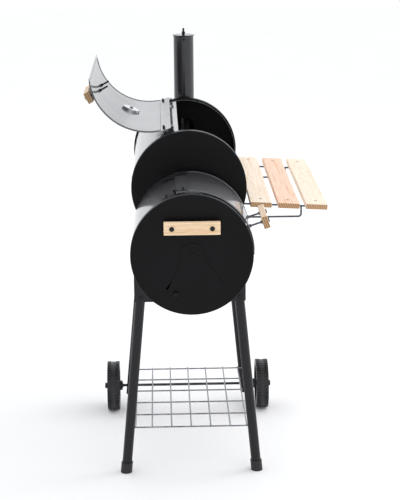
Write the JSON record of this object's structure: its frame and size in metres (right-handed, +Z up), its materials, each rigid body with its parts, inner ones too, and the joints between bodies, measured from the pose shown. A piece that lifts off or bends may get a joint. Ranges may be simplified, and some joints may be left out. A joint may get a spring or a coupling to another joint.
{
  "type": "offset smoker",
  "caption": "Barrel smoker with a side firebox, hinged lids, a chimney, a wooden shelf and a wheeled tube stand with a wire rack.",
  "frame": {"origin": "on the floor, under the middle of the whole object's box", "axes": "+Z up, +X along the barrels from the firebox to the chimney, -Y towards the shelf side"},
  "size_m": [1.014, 0.654, 1.1774],
  "materials": {
    "barrel_paint": "satin black",
    "cap_paint": "satin black",
    "lid_paint": "satin black",
    "chimney_paint": "semi-gloss black",
    "frame_paint": "satin black",
    "hinge_paint": "satin black",
    "black_steel": "black oxide",
    "vent_steel": "plated",
    "handle_wood": "planed pine",
    "slat_wood": "planed pine",
    "slat_wood_pink": "planed pine",
    "rack_wire": "zinc plated wire",
    "grate_wire": "plated wire",
    "axle_steel": "dark steel",
    "tyre_plastic": "moulded",
    "rim_plastic": "moulded",
    "foot_plastic": "moulded",
    "gauge_chrome": "polished",
    "dial_face": "matt white",
    "needle_red": "matt red",
    "gauge_glass": "clear"
  },
  "bodies": {
    "smoker": {"axle": "axle_steel", "axle_washers_and_caps": "foot_plastic", "chimney_elbow": "chimney_paint", "chimney_fasteners": "black_steel", "chimney_strap": "frame_paint", "chimney_tube": "chimney_paint", "far_back_leg": "frame_paint", "far_front_leg": "frame_paint", "firebox_charcoal_grate": "grate_wire", "firebox_cooking_grate": "grate_wire", "firebox_front_cap": "cap_paint", "firebox_joint_bolts": "black_steel", "firebox_rear_cap": "barrel_paint", "firebox_shell": "barrel_paint", "front_handle": "handle_wood", "front_handle_bolts": "black_steel", "grate_brackets": "frame_paint", "hinge_fixed_leaves": "hinge_paint", "hinge_fixed_screws": "black_steel", "hinge_pins": "black_steel", "leg_end_caps": "foot_plastic", "leg_saddles": "frame_paint", "lower_rack": "rack_wire", "main_barrel_shell": "barrel_paint", "main_charcoal_grate": "grate_wire", "main_cooking_grates": "grate_wire", "main_far_cap": "cap_paint", "main_near_cap": "cap_paint", "near_back_leg": "frame_paint", "near_front_leg": "frame_paint", "shelf_brackets": "frame_paint", "shelf_inner_slat": "slat_wood", "shelf_middle_slat": "slat_wood_pink", "shelf_outer_slat": "slat_wood", "shelf_screws": "black_steel", "stand_bolts": "black_steel", "vent_rivet": "vent_steel"},
    "main_lid": {"main_lid": "lid_paint", "main_lid_handle": "handle_wood", "main_handle_bolts": "black_steel", "main_hinge_lid_leaves": "hinge_paint", "main_hinge_lid_screws": "black_steel", "thermometer_case": "gauge_chrome", "thermometer_dial": "dial_face", "thermometer_glass": "gauge_glass", "thermometer_stem": "gauge_chrome"},
    "thermometer_needle": {"thermometer_needle": "needle_red"},
    "firebox_lid": {"firebox_lid": "lid_paint", "firebox_lid_handle": "handle_wood", "firebox_handle_bolts": "black_steel", "firebox_hinge_lid_leaves": "hinge_paint", "firebox_hinge_lid_screws": "black_steel"},
    "air_vent": {"vent_plate": "cap_paint", "vent_knob": "vent_steel"},
    "chimney_cap": {"chimney_cap_plate": "chimney_paint", "chimney_cap_bolt": "black_steel"},
    "back_wheel": {"back_wheel_tread": "tyre_plastic", "back_wheel_rim": "rim_plastic"},
    "front_wheel": {"front_wheel_tread": "tyre_plastic", "front_wheel_rim": "rim_plastic"}
  },
  "joints": [
    {"name": "main_lid_hinge", "type": "hinge", "parent": "smoker", "child": "main_lid", "pos_m": [0.139, 0.08318, 0.97513], "axis": [1, 0, 0], "range_deg": [0, 188]},
    {"name": "firebox_lid_hinge", "type": "hinge", "parent": "smoker", "child": "firebox_lid", "pos_m": [-0.3155, 0.08318, 0.86913], "axis": [1, 0, 0], "range_deg": [-188, 0]},
    {"name": "air_vent_pivot", "type": "hinge", "parent": "smoker", "child": "air_vent", "pos_m": [-0.47, 0.04162, 0.714], "axis": [1, 0, 0], "range_deg": [-66, 6]},
    {"name": "chimney_cap_lift", "type": "slide", "parent": "smoker", "child": "chimney_cap", "axis": [0, 0, 1], "range_m": [0, 0.017]},
    {"name": "thermometer_needle_turn", "type": "hinge", "parent": "main_lid", "child": "thermometer_needle", "pos_m": [0.179, 0.19963, 0.97543], "axis": [0, 0.342, -0.9397], "range_deg": [-300, 0]},
    {"name": "back_wheel_spin", "type": "hinge", "parent": "smoker", "child": "back_wheel", "pos_m": [0.3946, 0.27262, 0.0755], "axis": [0, 1, 0], "continuous": true},
    {"name": "front_wheel_spin", "type": "hinge", "parent": "smoker", "child": "front_wheel", "pos_m": [0.3946, -0.18938, 0.0755], "axis": [0, 1, 0], "continuous": true}
  ]
}
